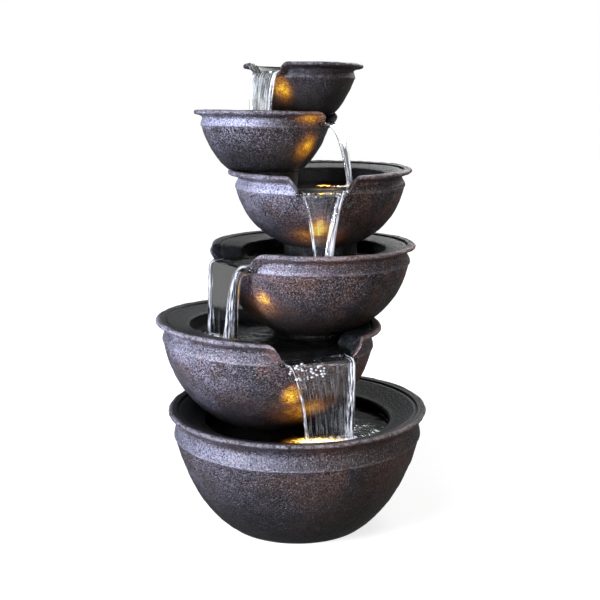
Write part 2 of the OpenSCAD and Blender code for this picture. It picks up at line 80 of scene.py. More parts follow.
# Where each fall lands: the two ends of its foot
LANDINGS = [
    None,
    ((8, -60), (53, -45)),
    ((-86, 29), (-60, -20)),
    ((16, -8), (33, -8)),
    ((50.5, 56), (54, 66)),
    ((-48, 82), (-26, 58)),
]
# Where the hose ends in the top bowl
OUTLET = (-4, 117)
# Of the water: depth of a pool, length of the tongue on a spout's floor, run of a fall's start in the
# channel, how far a fall narrows at each side of its lip, squash of a bubble, refraction
POOL_DEPTH = 17.0
TONGUE = 20
CHANNEL_RUN = 12
LIP_INSET = 0.5
SQUASH = 0.8
WATER_IOR = 1.333


class Bowl:
    """One row of the table, with the turn and place of the leaning bowl."""

    def __init__(self, index):
        self.is_basin = index == 0
        (self.x, self.y, self.rim_z, self.rim_r, self.base_z, self.base_r, self.band, self.lip_depth,
         spout, self.lip_width, lean_right, lean_front, overhang, self.fullness) = BOWLS[index]
        self.index = index
        self.height = self.rim_z - self.base_z
        self.ridge_r = self.rim_r - overhang
        self.spout = math.radians(spout)
        a, b = math.radians(lean_front), math.radians(lean_right)
        about_x = np.array([[1, 0, 0], [0, math.cos(a), -math.sin(a)], [0, math.sin(a), math.cos(a)]])
        about_y = np.array([[math.cos(b), 0, math.sin(b)], [0, 1, 0], [-math.sin(b), 0, math.cos(b)]])
        self.turn = about_y @ about_x
        shift = np.array([-math.sin(b), math.sin(a)]) * self.height
        self.place = np.array([self.x + shift[0], self.y + shift[1], self.base_z])
        self.lip_z = self.height - self.lip_depth
        self.lip_r = self.ridge_r + 2.5
        self.pool_r = (0.72 if self.is_basin else 0.70) * self.rim_r
        self.flare = 0.15 * self.rim_r
        self.half = self.lip_width / 2
        # Along the table: out of the spout, and across it
        self.out = np.array([math.cos(self.spout), math.sin(self.spout)])
        self.across = np.array([-math.sin(self.spout), math.cos(self.spout)])

    def world(self, p):
        return p @ self.turn.T + self.place

    def local(self, p):
        return (p - self.place) @ self.turn

    def lip_middle(self):
        """The bowl's axis at the level of its lip, which the lean shifts."""
        lean = np.array([self.x, self.y]) - self.place[:2]
        return self.place[:2] + lean * (self.lip_z / self.height)

    def level_z(self, x, y, local_z):
        """Height above the table of a level of the leaning bowl, over a place."""
        dx, dy = x - self.place[0], y - self.place[1]
        return self.place[2] + self.turn[2, 0] * dx + self.turn[2, 1] * dy + self.turn[2, 2] * local_z

    def side(self, count):
        """Radius and height of the outside, from the foot up to the band."""
        r0, r1 = self.base_r, self.ridge_r - 1
        z0, z1 = (4 if self.is_basin else 0), self.height - self.band
        belly = [r0 + self.fullness * (r1 - r0), z0 + 0.33 * (z1 - z0)]
        return bezier([r0, z0], belly, [r1, z1], count)


def bezier(a, b, c, count):
    """Points of a curve from a to c that b pulls towards itself."""
    t = np.linspace(0, 1, count)[:, None]
    return (1 - t) ** 2 * np.array(a) + 2 * t * (1 - t) * np.array(b) + t ** 2 * np.array(c)


def smooth(low, high, x):
    """0 at low and 1 at high, whichever of them is the larger."""
    t = np.clip((x - low) / (high - low), 0, 1)
    return t * t * (3 - 2 * t)


def hashed(ix, iy, iz, seed):
    """A number from 0 to 1 for each cell of a grid, always the same one."""
    n = (ix * 374761393 + iy * 668265263 + iz * 1442695041 + seed * 1274126177) & 0xFFFFFFFF
    n = ((n ^ (n >> 13)) * 1274126177) & 0xFFFFFFFF
    return ((n ^ (n >> 16)) & 0xFFFF) / 65535.0


def noise(points, cell, seed):
    """Smooth noise from -1 to 1 whose lumps are about one cell across."""
    q = points / cell
    base = np.floor(q).astype(np.int64)
    f = q - base
    f = f * f * (3 - 2 * f)
    total = np.zeros(points.shape[:-1])
    for dx in (0, 1):
        for dy in (0, 1):
            for dz in (0, 1):
                w = np.abs(1 - np.array([dx, dy, dz]) - f)
                corner = hashed(base[..., 0] + dx, base[..., 1] + dy, base[..., 2] + dz, seed)
                total += w[..., 0] * w[..., 1] * w[..., 2] * corner
    return 2 * total - 1


def rounded(points, times):
    """Cuts the corners of an open line of points."""
    for _ in range(times):
        a, b = points[:-1], points[1:]
        cut = np.empty((2 * len(a), points.shape[1]))
        cut[0::2] = 0.75 * a + 0.25 * b
        cut[1::2] = 0.25 * a + 0.75 * b
        points = np.vstack([points[:1], cut, points[-1:]])
    return points


def resampled(points, step):
    """Points along a line at an even step."""
    gaps = np.linalg.norm(np.diff(points[:, :2], axis=0), axis=1)
    along = np.concatenate([[0], np.cumsum(gaps)])
    count = max(2, int(round(along[-1] / step)) + 1)
    at = np.linspace(0, along[-1], count)
    return np.column_stack([np.interp(at, along, points[:, i]) for i in range(points.shape[1])])


def stacked(stretches):
    """Joins stretches of profile, given as (points, step, rounding), without doubled ends."""
    rows = []
    for points, step, times in stretches:
        line = resampled(rounded(np.array(points, float), times), step)
        rows.append(line if not rows else line[1:])
    return np.vstack(rows)


def inner_wall(b, edge, start_z, floor_z):
    """The outline below the shelf's brink, down the inside and over the floor, with its step."""
    if b.is_basin:
        wall = [[edge, start_z], [edge, start_z - 1], [b.ridge_r - 14, start_z - 3]]
        wall += [[p[0] - BASIN_WALL, p[1]] for p in b.side(20)[::-1] if floor_z + 6 < p[1] < start_z - 8]
        return wall + [[b.base_r - 4, floor_z], [20, floor_z]], 4
    low_r = edge - 0.05 * b.rim_r
    return [[edge, start_z], [low_r, floor_z + 3], [low_r - 3, floor_z], [8, floor_z]], 2.5


def foot_outline(b, side_foot):
    """The outline from the underside to the foot of the side; upper bowls stand on a short post."""
    if b.is_basin:
        under_r = b.base_r - 6
        return [[under_r, 0], [under_r + 2, 0.4], [b.base_r - 2, 2.2], side_foot]
    if b.index == 1:
        under_r, under_z = b.base_r - 14, 0
    else:
        below_rim_z, below_lip = BOWLS[b.index - 1][2], BOWLS[b.index - 1][7]
        under_r, under_z = b.base_r - 3, below_rim_z - below_lip - 16 - b.base_z
    return [[under_r, under_z], [under_r, 0], [b.base_r - 1.2, 0], side_foot]


def bowl_profile(b):
    """Radius and height, from the underside's middle up the outside, over the rim and in to the pool."""
    h, r, band, ridge, edge = b.height, b.rim_r, b.band, b.ridge_r, b.pool_r
    side = b.side(40)
    floor_z = 10 if b.is_basin else b.lip_z - 15
    shelf_z = h - (12 if b.is_basin else 5)
    # The two smallest bowls have a shallower hollow between band and rim.
    neck, draw = (1.6, 2.6) if b.index > 3 else (3.2, 5.4)
    waist = [ridge - neck, h - 0.55 * band]
    collar = np.vstack([
        bezier([ridge, h - 0.93 * band], [ridge - 0.3, h - 0.74 * band], waist, 9),
        bezier(waist, [ridge - draw, h - 0.36 * band], [r - 1.2, h - 4.2], 9)[1:]])
    crease = [side[-1], [ridge - 0.6, h - band + 0.1], [ridge + 0.1, h - 0.965 * band], collar[0]]
    lip = [collar[-1], [r, h - 3.4], [r + 0.1, h - 1.6], [r - 1.3, h], [r - 3.5, h + 0.05]]
    flat = [lip[-1], [r - 8.3, h - 0.5]]
    groove = [flat[-1], [r - 8.8, h - 2.4], [r - 10.2, h - 2.6], [r - 11, h - 1.9]]
    shelf = [groove[-1], [edge + 5, shelf_z + 0.8], [edge + 2, shelf_z]]
    brink = [shelf[-1], [edge + 0.2, shelf_z - 0.6], [edge, shelf_z - 4]]
    wall, wall_step = inner_wall(b, edge, shelf_z - 4, floor_z)
    return stacked([
        (foot_outline(b, side[0]), 1.5, 1), (side, 1.5, 0), (crease, 0.5, 1), (collar, 1.1, 0),
        (lip, 0.55, 2), (flat, 1.2, 0), (groove, 0.45, 1), (shelf, 1.6, 1), (brink, 0.8, 1),
        (wall, wall_step, 1)])


def bowl_angles(b):
    """Directions round the bowl, closer together at the spout."""
    if b.is_basin:
        return np.linspace(0, 2 * np.pi, COLUMNS, endpoint=False)
    fine = np.linspace(-np.pi, np.pi, 4001)
    density = 1 + 2.2 * np.exp(-(fine / 0.62) ** 4)
    grown = np.concatenate([[0], np.cumsum((density[1:] + density[:-1]) / 2)])
    at = np.linspace(0, grown[-1], COLUMNS, endpoint=False)
    return b.spout + np.interp(at, grown, fine)


def cheek(b, lateral):
    """How closed the rim is beside the spout's middle: 0 in the opening, 1 beyond it."""
    t = np.clip((np.abs(lateral) - b.half) / b.flare, 0, 1)
    rise = 1 - (1 - t) ** 3.0
    return rise * smooth(-0.05, 0.12, t)


def finish_shares(b, r, z, outside):
    """How much of each surface is raised band, worn edge, top surface, and deep inside or underneath, where
    painted shade goes.
    """
    h, inside = b.height, ~outside
    above_band = smooth(h - b.band - 0.6, h - b.band + 1.5, z)
    band = above_band * (1 - smooth(h - 0.62 * b.band, h - 0.34 * b.band, z)) * outside
    edge = np.exp(-(((r - b.rim_r) / 1.6) ** 2) - ((z - h + 1) / 2.0) ** 2)
    ridge = np.exp(-((z - h + 0.95 * b.band) / 1.1) ** 2) * outside
    top = smooth(0, 3, b.rim_r - r) * inside
    groove = np.exp(-((r - b.rim_r + 9.6) / 1.5) ** 2) * inside
    # Painted shade: near black deep in the pool's hollow and under the foot.
    deep_shade = smooth(b.pool_r + 2.5, b.pool_r - 1.5, r) * inside
    deep_shade = deep_shade + 0.9 * smooth(0.5, -1.5, z) * outside
    return band, edge, ridge, top, groove, deep_shade


def with_spout(b, r, z, angle, outside):
    """Pulls the rim out and down into a spout; also how closed the rim is, from 0 to 1."""
    band_z = b.height - b.band
    up = (z - band_z) / b.band
    phi = angle[None, :] - b.spout
    ahead = np.cos(phi) > 0
    lateral = r * np.sin(phi)
    closed = np.where(ahead, cheek(b, lateral), 1.0)
    opened = 1 - closed
    in_collar = outside & (z > band_z)
    inside = ~outside & (r > 0.5 * b.pool_r)
    on_shelf = r > b.pool_r
    # The collar is squeezed under the lip and comes out to the nose.
    rim_h = b.lip_z + (b.height - b.lip_z) * closed
    squeezed = band_z + (z - band_z) * (rim_h - band_z) / b.band
    squeezed = squeezed - 0.9 * opened * smooth(0.5, 1, up)
    nose_r = b.ridge_r + (b.lip_r - b.ridge_r) * smooth(0, 1, up)
    pulled = b.pool_r + (r - b.pool_r) * (b.lip_r - b.pool_r) / (b.rim_r - b.pool_r)
    # Over the lip the rim's rows lie on the floor of the channel, a little rounded at the nose.
    floor = b.lip_z - 0.9 * smooth(b.lip_r - 3.5, b.lip_r, pulled) ** 2
    low = closed * z + opened * b.lip_z
    sunk = np.where(on_shelf, closed * z + opened * floor, np.minimum(z, low))
    new_r = np.where(inside & on_shelf, r * closed + pulled * opened, r)
    new_r = np.where(in_collar, r * closed + nose_r * opened, new_r)
    # The rim's ends beside the opening roll outwards and down like lapels.
    beside = np.clip((np.abs(lateral) - b.half) / b.flare, 0, 1.6)
    lapel = np.exp(-((beside - 0.30) / 0.26) ** 2) * ahead
    high = np.where(outside, smooth(0.35, 0.95, up), smooth(b.pool_r + 4, b.rim_r - 2, r))
    new_r = new_r + LAPEL_OUT * b.rim_r * lapel * high
    sunk = sunk - LAPEL_DOWN * lapel * high
    new_z = np.where(in_collar, squeezed, np.where(inside, sunk, z))
    return new_r, new_z, closed


def bowl_points(b):
    """The surface as rows of rings, in the bowl's own leaning frame, with its finish, which also holds
    painted shade in its hollows, and its painted shade by height.
    """
    profile = bowl_profile(b)
    angle = bowl_angles(b)
    r = np.repeat(profile[:, :1], COLUMNS, axis=1)
    z = np.repeat(profile[:, 1:2], COLUMNS, axis=1)
    top_row = int(np.argmax(profile[:, 1]))
    outside = np.arange(len(profile))[:, None] <= top_row
    band, edge, ridge, top, groove, deep_shade = finish_shares(b, r, z, outside)
    if not b.is_basin:
        r, z, closed = with_spout(b, r, z, angle, outside)
        band = band * (0.25 + 0.75 * closed)
        groove = groove * closed ** 2
        edge = edge * (0.35 + 0.65 * closed)
    points = np.stack([r * np.cos(angle), r * np.sin(angle), z], axis=-1)
    # Painted shade in the pool's hollow and under the foot; the groove by the rim is darkened too.
    dark_hollows = np.maximum(deep_shade, 0.8 * groove)
    finish = np.clip(np.stack([band, edge + 0.5 * ridge, top, dark_hollows], axis=-1), 0, 1)
    # The outside's share of the height, for the painted shade that darkens the lower side; the inside
    # counts as high.
    rise = np.where(outside, np.clip(z / b.height, 0, 1), 1.0)
    shade = np.stack([rise, rise, rise, np.ones_like(rise)], axis=-1)
    return points, finish, shade


def normals_of(points):
    """Outward directions of a closed ring of rows."""
    around = np.roll(points, -1, axis=1) - np.roll(points, 1, axis=1)
    up = np.gradient(points, axis=0)
    n = np.cross(around, up)
    size = np.linalg.norm(n, axis=-1, keepdims=True)
    return n / np.maximum(size, 1e-9)


def seat(points, above):
    """Lowers what lies inside the bowl above, so that it stands in a recess."""
    p = above.local(points)
    rho = np.hypot(p[..., 0], p[..., 1])
    side = above.side(60)
    surface = np.interp(rho, side[:, 0], side[:, 1], left=0, right=1e3)
    # The recess has a soft shoulder.
    sunk = np.minimum(p[..., 2], surface - SEAT_GAP)
    p = np.stack([p[..., 0], p[..., 1], np.where(rho < side[-1, 0], sunk, p[..., 2])], axis=-1)
    return above.world(p)


def tucked(points, below):
    """Pulls the foot of a bowl in, so that it stays inside the wall of the bowl that it stands in."""
    p = below.local(points)
    rho = np.hypot(p[..., 0], p[..., 1])
    side = below.side(60)
    room = np.interp(p[..., 2], side[:, 1], side[:, 0]) - 7
    room = np.where(p[..., 2] > side[-1, 1], below.ridge_r - 11, room)
    pull = np.where(p[..., 2] < below.height - 3, np.minimum(1, room / np.maximum(rho, 1e-6)), 1)
    return below.world(p * np.stack([pull, pull, np.ones_like(pull)], axis=-1))


def mesh_object(name, verts, faces):
    """A smooth mesh of corners in millimetres, as an object in the scene."""
    mesh = bpy.data.meshes.new(name)
    mesh.from_pydata((np.array(verts) * MM).tolist(), [], faces)
    mesh.shade_smooth()
    mesh.update()
    obj = bpy.data.objects.new(name, mesh)
    bpy.context.scene.collection.objects.link(obj)
    return obj


def ring_object(name, points, attributes=None):
    """A closed mesh of rows of points, each row a ring, with a fan over each end."""
    rows, cols = points.shape[:2]
    verts = points.reshape(-1, 3)
    i = np.arange(rows - 1)[:, None] * cols
    j = np.arange(cols)[None, :]
    k = (j + 1) % cols
    quads = np.stack([i + j, i + k, i + cols + k, i + cols + j], axis=-1).reshape(-1, 4)
    faces = quads.tolist()
    tips = []
    for first, flip in ((0, True), ((rows - 1) * cols, False)):
        tips.append(verts[first:first + cols].mean(axis=0))
        tip = len(verts) + len(tips) - 1
        for c in range(cols):
            a, d = first + c, first + (c + 1) % cols
            faces.append([tip, d, a] if flip else [tip, a, d])
    obj = mesh_object(name, np.vstack([verts, tips]), faces)
    for label, values in (attributes or {}).items():
        flat = values.reshape(-1, 4)
        flat = np.vstack([flat, flat[:cols].mean(axis=0), flat[-cols:].mean(axis=0)])
        layer = obj.data.attributes.new(label, "FLOAT_COLOR", "POINT")
        layer.data.foreach_set("color", flat.astype(np.float32).ravel())
    return obj


# ---------------------------------------------------------------- materials


class Shader:
    """A node material, built from small calls; those that make a pattern return its socket."""

    def __init__(self, name):
        self.material = bpy.data.materials.new(name)
        self.material.use_nodes = True
        self.tree = self.material.node_tree
        self.nodes = self.tree.nodes
        self.bsdf = self.nodes["Principled BSDF"]
        self.place = self.nodes.new("ShaderNodeTexCoord").outputs["Object"]

    def link(self, a, b):
        self.tree.links.new(a, b)

    def put(self, socket, value):
        if isinstance(value, bpy.types.NodeSocket):
            self.link(value, socket)
        else:
            socket.default_value = value

    def set(self, **values):
        """Sets inputs of the surface by name, with _ for a space."""
        for label, value in values.items():
            name = label.replace("_", " ")
            if isinstance(value, (tuple, list)) and len(value) == 3:
                value = (*value, 1)
            self.put(self.bsdf.inputs[name], value)

    def noise(self, size_mm, detail=3.0, rough=0.55, place=None, distort=0.0):
        node = self.nodes.new("ShaderNodeTexNoise")
        node.inputs["Scale"].default_value = 1000 / size_mm
        node.inputs["Detail"].default_value = detail
        node.inputs["Roughness"].default_value = rough
        node.inputs["Distortion"].default_value = distort
        self.link(place or self.place, node.inputs["Vector"])
        return node.outputs["Fac"]

    def cells(self, size_mm):
        node = self.nodes.new("ShaderNodeTexVoronoi")
        node.feature = "F1"
        node.inputs["Scale"].default_value = 1000 / size_mm
        node.inputs["Randomness"].default_value = 1.0
        self.link(self.place, node.inputs["Vector"])
        return node.outputs["Distance"]

    def math(self, op, a, b=0.0, c=0.0, clamp=False):
        node = self.nodes.new("ShaderNodeMath")
        node.operation = op
        node.use_clamp = clamp
        for socket, value in zip(node.inputs, (a, b, c)):
            self.put(socket, value)
        return node.outputs[0]

    def steps(self, value, low, high, to_low=0.0, to_high=1.0):
        node = self.nodes.new("ShaderNodeMapRange")
        node.interpolation_type = "SMOOTHSTEP"
        limits = {"Value": value, "From Min": low, "From Max": high, "To Min": to_low, "To Max": to_high}
        for label, limit in limits.items():
            self.put(node.inputs[label], limit)
        return node.outputs["Result"]

    def ramp(self, value, stops):
        node = self.nodes.new("ShaderNodeValToRGB")
        elements = node.color_ramp.elements
        while len(elements) < len(stops):
            elements.new(0.5)
        for element, (position, colour) in zip(elements, stops):
            element.position = position
            element.color = (*colour, 1)
        self.put(node.inputs["Fac"], value)
        return node.outputs["Color"]

    def mix(self, share, a, b, kind="MIX"):
        node = self.nodes.new("ShaderNodeMix")
        node.data_type = "RGBA"
        node.blend_type = kind
        self.put(node.inputs["Factor"], share)
        for socket, value in ((node.inputs[6], a), (node.inputs[7], b)):
            self.put(socket, (*value, 1) if isinstance(value, (tuple, list)) else value)
        return node.outputs[2]

    def attribute(self, name):
        """The four numbers that the mesh holds under a name."""
        node = self.nodes.new("ShaderNodeAttribute")
        node.attribute_name = name
        split = self.nodes.new("ShaderNodeSeparateColor")
        self.link(node.outputs["Color"], split.inputs[0])
        return [*split.outputs, node.outputs["Alpha"]]

    def distance(self, point_mm, radii_mm=(1, 1, 1)):
        """Distance from a point at rest, in units of a radius for each axis."""
        shift = self.nodes.new("ShaderNodeVectorMath")
        shift.operation = "SUBTRACT"
        self.link(self.place, shift.inputs[0])
        shift.inputs[1].default_value = [v * MM for v in point_mm]
        scale = self.nodes.new("ShaderNodeVectorMath")
        scale.operation = "MULTIPLY"
        self.link(shift.outputs[0], scale.inputs[0])
        scale.inputs[1].default_value = [1000 / radius for radius in radii_mm]
        length = self.nodes.new("ShaderNodeVectorMath")
        length.operation = "LENGTH"
        self.link(scale.outputs[0], length.inputs[0])
        return length.outputs["Value"]

    def left_to_right(self, middle_mm, half_mm):
        """-1 at the left side of a bowl, 1 at its right side."""
        node = self.nodes.new("ShaderNodeSeparateXYZ")
        self.link(self.place, node.inputs[0])
        return self.math("DIVIDE", self.math("SUBTRACT", node.outputs[0], middle_mm * MM), half_mm * MM)

    def blend_by(self, share, amount, under, over):
        """Lays one colour over another, as far as a share times an amount."""
        return self.mix(self.math("MULTIPLY", share, amount), under, over)

    def emit(self, colour, strength):
        self.put(self.bsdf.inputs["Emission Color"], colour)
        self.put(self.bsdf.inputs["Emission Strength"], strength)

    def bump(self, height, depth_mm, strength=1.0):
        """Gives the surface a relief."""
        node = self.nodes.new("ShaderNodeBump")
        node.inputs["Strength"].default_value = strength
        node.inputs["Distance"].default_value = depth_mm * MM
        self.put(node.inputs["Height"], height)
        self.link(node.outputs["Normal"], self.bsdf.inputs["Normal"])


# Colours from black or dark to bright, by position
GLOW_RAMP = [
    (0.0, (0, 0, 0)), (0.2, (0.060, 0.018, 0.001)), (0.45, (0.36, 0.13, 0.004)),
    (0.7, (0.88, 0.48, 0.012)), (0.92, (1.0, 0.80, 0.09))]
PITTED_RAMP = [
    (0.40, (0.001, 0.001, 0.002)), (0.48, (0.007, 0.006, 0.009)),
    (0.545, (0.036, 0.032, 0.042)), (0.62, (0.30, 0.27, 0.32))]
TOP_RAMP = [(0.34, (0.002, 0.003, 0.003)), (0.52, (0.006, 0.008, 0.009)), (0.70, (0.042, 0.050, 0.056))]
# Painted shade: the lowest part of a side is darker than its shoulder.
PAINTED_SHADE_RAMP = [
    (0.0, (0.07, 0.07, 0.07)), (0.3, (0.26, 0.26, 0.27)), (0.6, (0.72, 0.72, 0.72)),
    (0.8, (1.0, 1.0, 1.0))]
POOL_RAMP = [
    (0.0, (0, 0, 0)), (0.22, (0.10, 0.035, 0.003)), (0.5, (0.62, 0.34, 0.03)),
    (0.75, (1.0, 0.78, 0.22)), (0.95, (1, 0.97, 0.8))]
NEAR_BLACK = (0.003, 0.003, 0.004)


def side_colour(s, x, grain, mixed, painted_left_highlight, rust_and_warm_light):
    """Dark pitted resin with brown rusty patches that also stand for painted warm light on the right, and a
    painted lilac highlight towards the left.
    """
    broad = s.noise(52, 4, 0.6, distort=0.6)
    base = s.ramp(mixed, PITTED_RAMP)
    brown = s.mix(s.steps(grain, 0.42, 0.60), (0.008, 0.004, 0.003), (0.34, 0.160, 0.110))
    # Rusty patches grow towards the right, where they also stand for painted warm light.
    rust_and_warm_light_to_right = s.steps(x, -0.65, 0.25, 0.35 * rust_and_warm_light, rust_and_warm_light)
    rusty = s.math("MULTIPLY", s.steps(broad, 0.38, 0.58), rust_and_warm_light_to_right, clamp=True)
    base = s.blend_by(rusty, 0.85, base, brown)
    # Painted lilac highlight, strongest on the left side, in broad patches.
    lilac = s.mix(s.steps(grain, 0.41, 0.61), (0.010, 0.011, 0.020), (0.54, 0.54, 0.72))
    left_highlight = s.math("MULTIPLY", s.steps(x, 0.25, -0.85), painted_left_highlight)
    shoulder = s.math("MULTIPLY", left_highlight, s.steps(s.noise(28, 3, 0.5), 0.36, 0.62, 0.2, 1.0))
    return s.mix(s.math("MULTIPLY", shoulder, 0.75, clamp=True), base, lilac)


def band_colour(s, x, mixed, band_highlight):
    """The smoother raised band, with a painted highlight on its left side."""
    painted_gleam = s.math("MULTIPLY", s.steps(x, 0.40, -0.70), band_highlight, clamp=True)
    bright = s.mix(painted_gleam, (0.055, 0.050, 0.062), (0.50, 0.51, 0.69))
    dull = s.mix(0.6, bright, (0.02, 0.017, 0.022))
    return s.mix(s.steps(mixed, 0.42, 0.58), dull, bright)


def specked(s, base):
    """Pale specks, dark dents and rusty flecks."""
    speck = s.steps(s.noise(1.3, 2, 0.5), 0.59, 0.66)
    dent = s.steps(s.noise(1.7, 2, 0.5), 0.44, 0.36)
    fleck = s.steps(s.noise(3.0, 3, 0.6), 0.60, 0.67)
    base = s.blend_by(speck, 0.7, base, (0.46, 0.41, 0.46))
    base = s.blend_by(dent, 0.85, base, (0.004, 0.004, 0.006))
    return s.blend_by(fleck, 0.4, base, (0.16, 0.062, 0.042))


def lamp_glow(s, glows, grain, patches):
    """The warm light of a lamp on the side: (centre, radii, power) each."""
    blotches = s.math("ADD", s.math("MULTIPLY", grain, 0.6), s.math("MULTIPLY", patches, 0.4))
    total = 0.0
    for centre, radii, power in glows:
        near = s.steps(s.distance(centre, radii), 1.0, 0.0, 0.0, power)
        total = s.math("MAXIMUM", total, near)
    level = s.math("MULTIPLY", total, s.steps(blotches, 0.36, 0.62, 0.35, 1.0), clamp=True)
    s.emit(s.ramp(level, GLOW_RAMP), 1.0)


def bronze(name, painted_left_highlight, rust_and_warm_light, tone, band_highlight, glows=(), middle_mm=0, half_mm=110):
    """Cast resin with a pitted bronze-dark finish.

    cool is how strong the painted lilac highlight on its left is, rust how brown it is, in rusty patches
    heavier on its right that also stand for painted warm light, tone how light as a whole, and sheen how
    strong the painted highlight on its band is; middle and half width place the left and right of the
    piece."""
    s = Shader(name)
    band, edge, top, deep_shade = s.attribute("finish")
    x = s.left_to_right(middle_mm, half_mm)
    patches = s.noise(11, 5, 0.66)
    grain = s.noise(1.5, 4, 0.70)
    mixed = s.math("ADD", s.math("MULTIPLY", grain, 0.76), s.math("MULTIPLY", patches, 0.24))
    base = side_colour(s, x, grain, mixed, painted_left_highlight, rust_and_warm_light)
    # The band's colour carries a painted highlight on its left.
    base = s.blend_by(band, 0.75, base, band_colour(s, x, mixed, band_highlight))
    base = s.mix(top, specked(s, base), s.ramp(s.noise(6, 5, 0.68), TOP_RAMP))
    # Painted shade by height: the lower side is darker.
    base = s.mix(1.0, base, s.ramp(s.attribute("shade")[0], PAINTED_SHADE_RAMP), "MULTIPLY")
    base = s.mix(tone, NEAR_BLACK, base)
    worn = s.math("MULTIPLY", edge, s.steps(s.noise(4.5, 4, 0.7), 0.40, 0.62, 0.08, 1.0))
    base = s.blend_by(worn, 0.7, base, (0.34, 0.32, 0.36))
    # Painted shade: near black in the pool's hollow and under the foot, and darker in the groove.
    base = s.mix(deep_shade, base, NEAR_BLACK)
    rough = s.math("ADD", s.steps(grain, 0.3, 0.7, 0.26, 0.55), s.math("MULTIPLY", band, -0.03))
    s.set(Base_Color=base, Roughness=rough, Metallic=0.35, Coat_Weight=0.08, Coat_Roughness=0.3,
          Specular_IOR_Level=0.4)
    fine = s.math("MULTIPLY", s.noise(0.8, 3, 0.65), 0.4)
    pits = s.math("MULTIPLY", s.steps(s.cells(1.9), 0.0, 0.7), 0.45)
    relief = s.math("ADD", s.math("ADD", s.math("MULTIPLY", grain, 0.9), fine), pits)
    calm = s.math("SUBTRACT", 1.0, s.math("MULTIPLY", s.math("MAXIMUM", band, top), 0.5), clamp=True)
    s.bump(s.math("MULTIPLY", relief, calm), 1.6)
    if glows:
        lamp_glow(s, glows, grain, patches)
    return s.material


def build_bowl(b, painted_left_highlight, rust_and_warm_light, tone, band_highlight, glows):
    """The shell of one bowl, with its lumps and pits, where it stands in the stack."""
    points, finish, shade = bowl_points(b)
    n = normals_of(points)
    # The band and the top surfaces are smoother than the rest.
    calm = np.clip(1 - np.maximum(finish[..., 2], 0.6 * finish[..., 0]), 0.15, 1)
    lumps = 0.28 * noise(points, 9.0, 11 + b.index) + 0.55 * noise(points, 34.0, 31 + b.index)
    pitted = 0.22 * noise(points, 3.4, 51 + b.index)
    points = b.world(points + n * ((lumps + pitted) * calm)[..., None])
    if b.index < len(BOWLS) - 1:
        points = seat(points, Bowl(b.index + 1))
    if b.index > 1:
        points = tucked(points, Bowl(b.index - 1))
    piece = ring_object(NAMES[b.index] + "_shell", points, {"finish": finish, "shade": shade})
    look = bronze("bronze_" + NAMES[b.index], painted_left_highlight, rust_and_warm_light, tone, band_highlight, glows, b.x, b.rim_r)
    piece.data.materials.append(look)
    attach(piece, BODIES[b.index])
    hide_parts(NAMES[b.index])


def on_side(b, degrees, height_mm):
    """A point on the outside of a bowl, at a direction and a height above the table."""
    side = b.side(60)
    local_z = height_mm - b.base_z
    r = np.interp(local_z, side[:, 1], side[:, 0])
    a = math.radians(degrees)
    return tuple(b.world(np.array([r * math.cos(a), r * math.sin(a), local_z])))


bowls = [Bowl(k) for k in range(len(BOWLS))]
# Of the light on each bowl's side: its centre, its radii along the axes, and its power
GLOWS = [
    [],
    [(on_side(bowls[1], -74, 139), (17, 17, 22), 1.05), (on_side(bowls[1], -60, 122), (48, 48, 24), 0.66)],
    [(on_side(bowls[2], 236, 221), (16, 16, 16), 1.05), (on_side(bowls[2], 236, 214), (26, 26, 26), 0.52)],
    [(on_side(bowls[3], -92, 284), (14, 20, 30), 1.35), (on_side(bowls[3], -97, 276), (40, 40, 20), 0.55)],
    [(on_side(bowls[4], -42, 358), (20, 20, 26), 0.82), (on_side(bowls[4], -46, 386), (26, 26, 12), 0.74)],
    [(on_side(bowls[5], 244, 414), (17, 17, 24), 0.95)],
]
# Of each bowl's finish: how strong its painted lilac highlight on the left is, how rusty it is, with rusty
# patches on the right that also stand for painted warm light, how light it is, and how strong the painted
# highlight on its band is
LOOKS = [
    (0.6, 0.8, 0.62, 0.60),
    (1.15, 1.0, 1.0, 0.20),
    (0.6, 1.0, 0.92, 0.60),
    (0.8, 0.85, 0.92, 1.6),
    (0.8, 0.2, 1.0, 1.9),
    (0.35, 0.3, 0.36, 0.35),
]
for b in bowls:
    build_bowl(b, *LOOKS[b.index], GLOWS[b.index])

# ---------------------------------------------------------------- water


def ring_ripples(x, y, centre, height_mm, wave_mm, reach_mm):
    """Rings on the water round a place, which die away from it."""
    d = np.hypot(x - centre[0], y - centre[1])
    return height_mm * np.exp(-d / reach_mm) * np.cos(2 * np.pi * d / wave_mm)


def landing_centre(k):
    """Middle of the foot of the fall from bowl k."""
    left, right = LANDINGS[k]
    return ((left[0] + right[0]) / 2, (left[1] + right[1]) / 2)


def pool_waves(b, x, y, flat):
    """How far the pool's surface stands above its level: small waves and rings round what falls in."""
    waves = 0.16 * noise(flat, 7.0, 7 + b.index) + 0.2 * noise(flat, 19.0, 17 + b.index)
    if b.index < len(BOWLS) - 1:
        left, right = LANDINGS[b.index + 1]
        for spot, strength in ((left, 0.5), (right, 0.6), (landing_centre(b.index + 1), 0.7)):
            waves += ring_ripples(x, y, spot, strength, 6.5, 16)
    else:
        # The pump's outlet wells up in the top bowl.
        d = np.hypot(x - OUTLET[0], y - OUTLET[1])
        waves += 1.6 * np.exp(-(d / 11) ** 2) + 0.5 * np.exp(-d / 20) * np.cos(d / 1.3)
    return waves


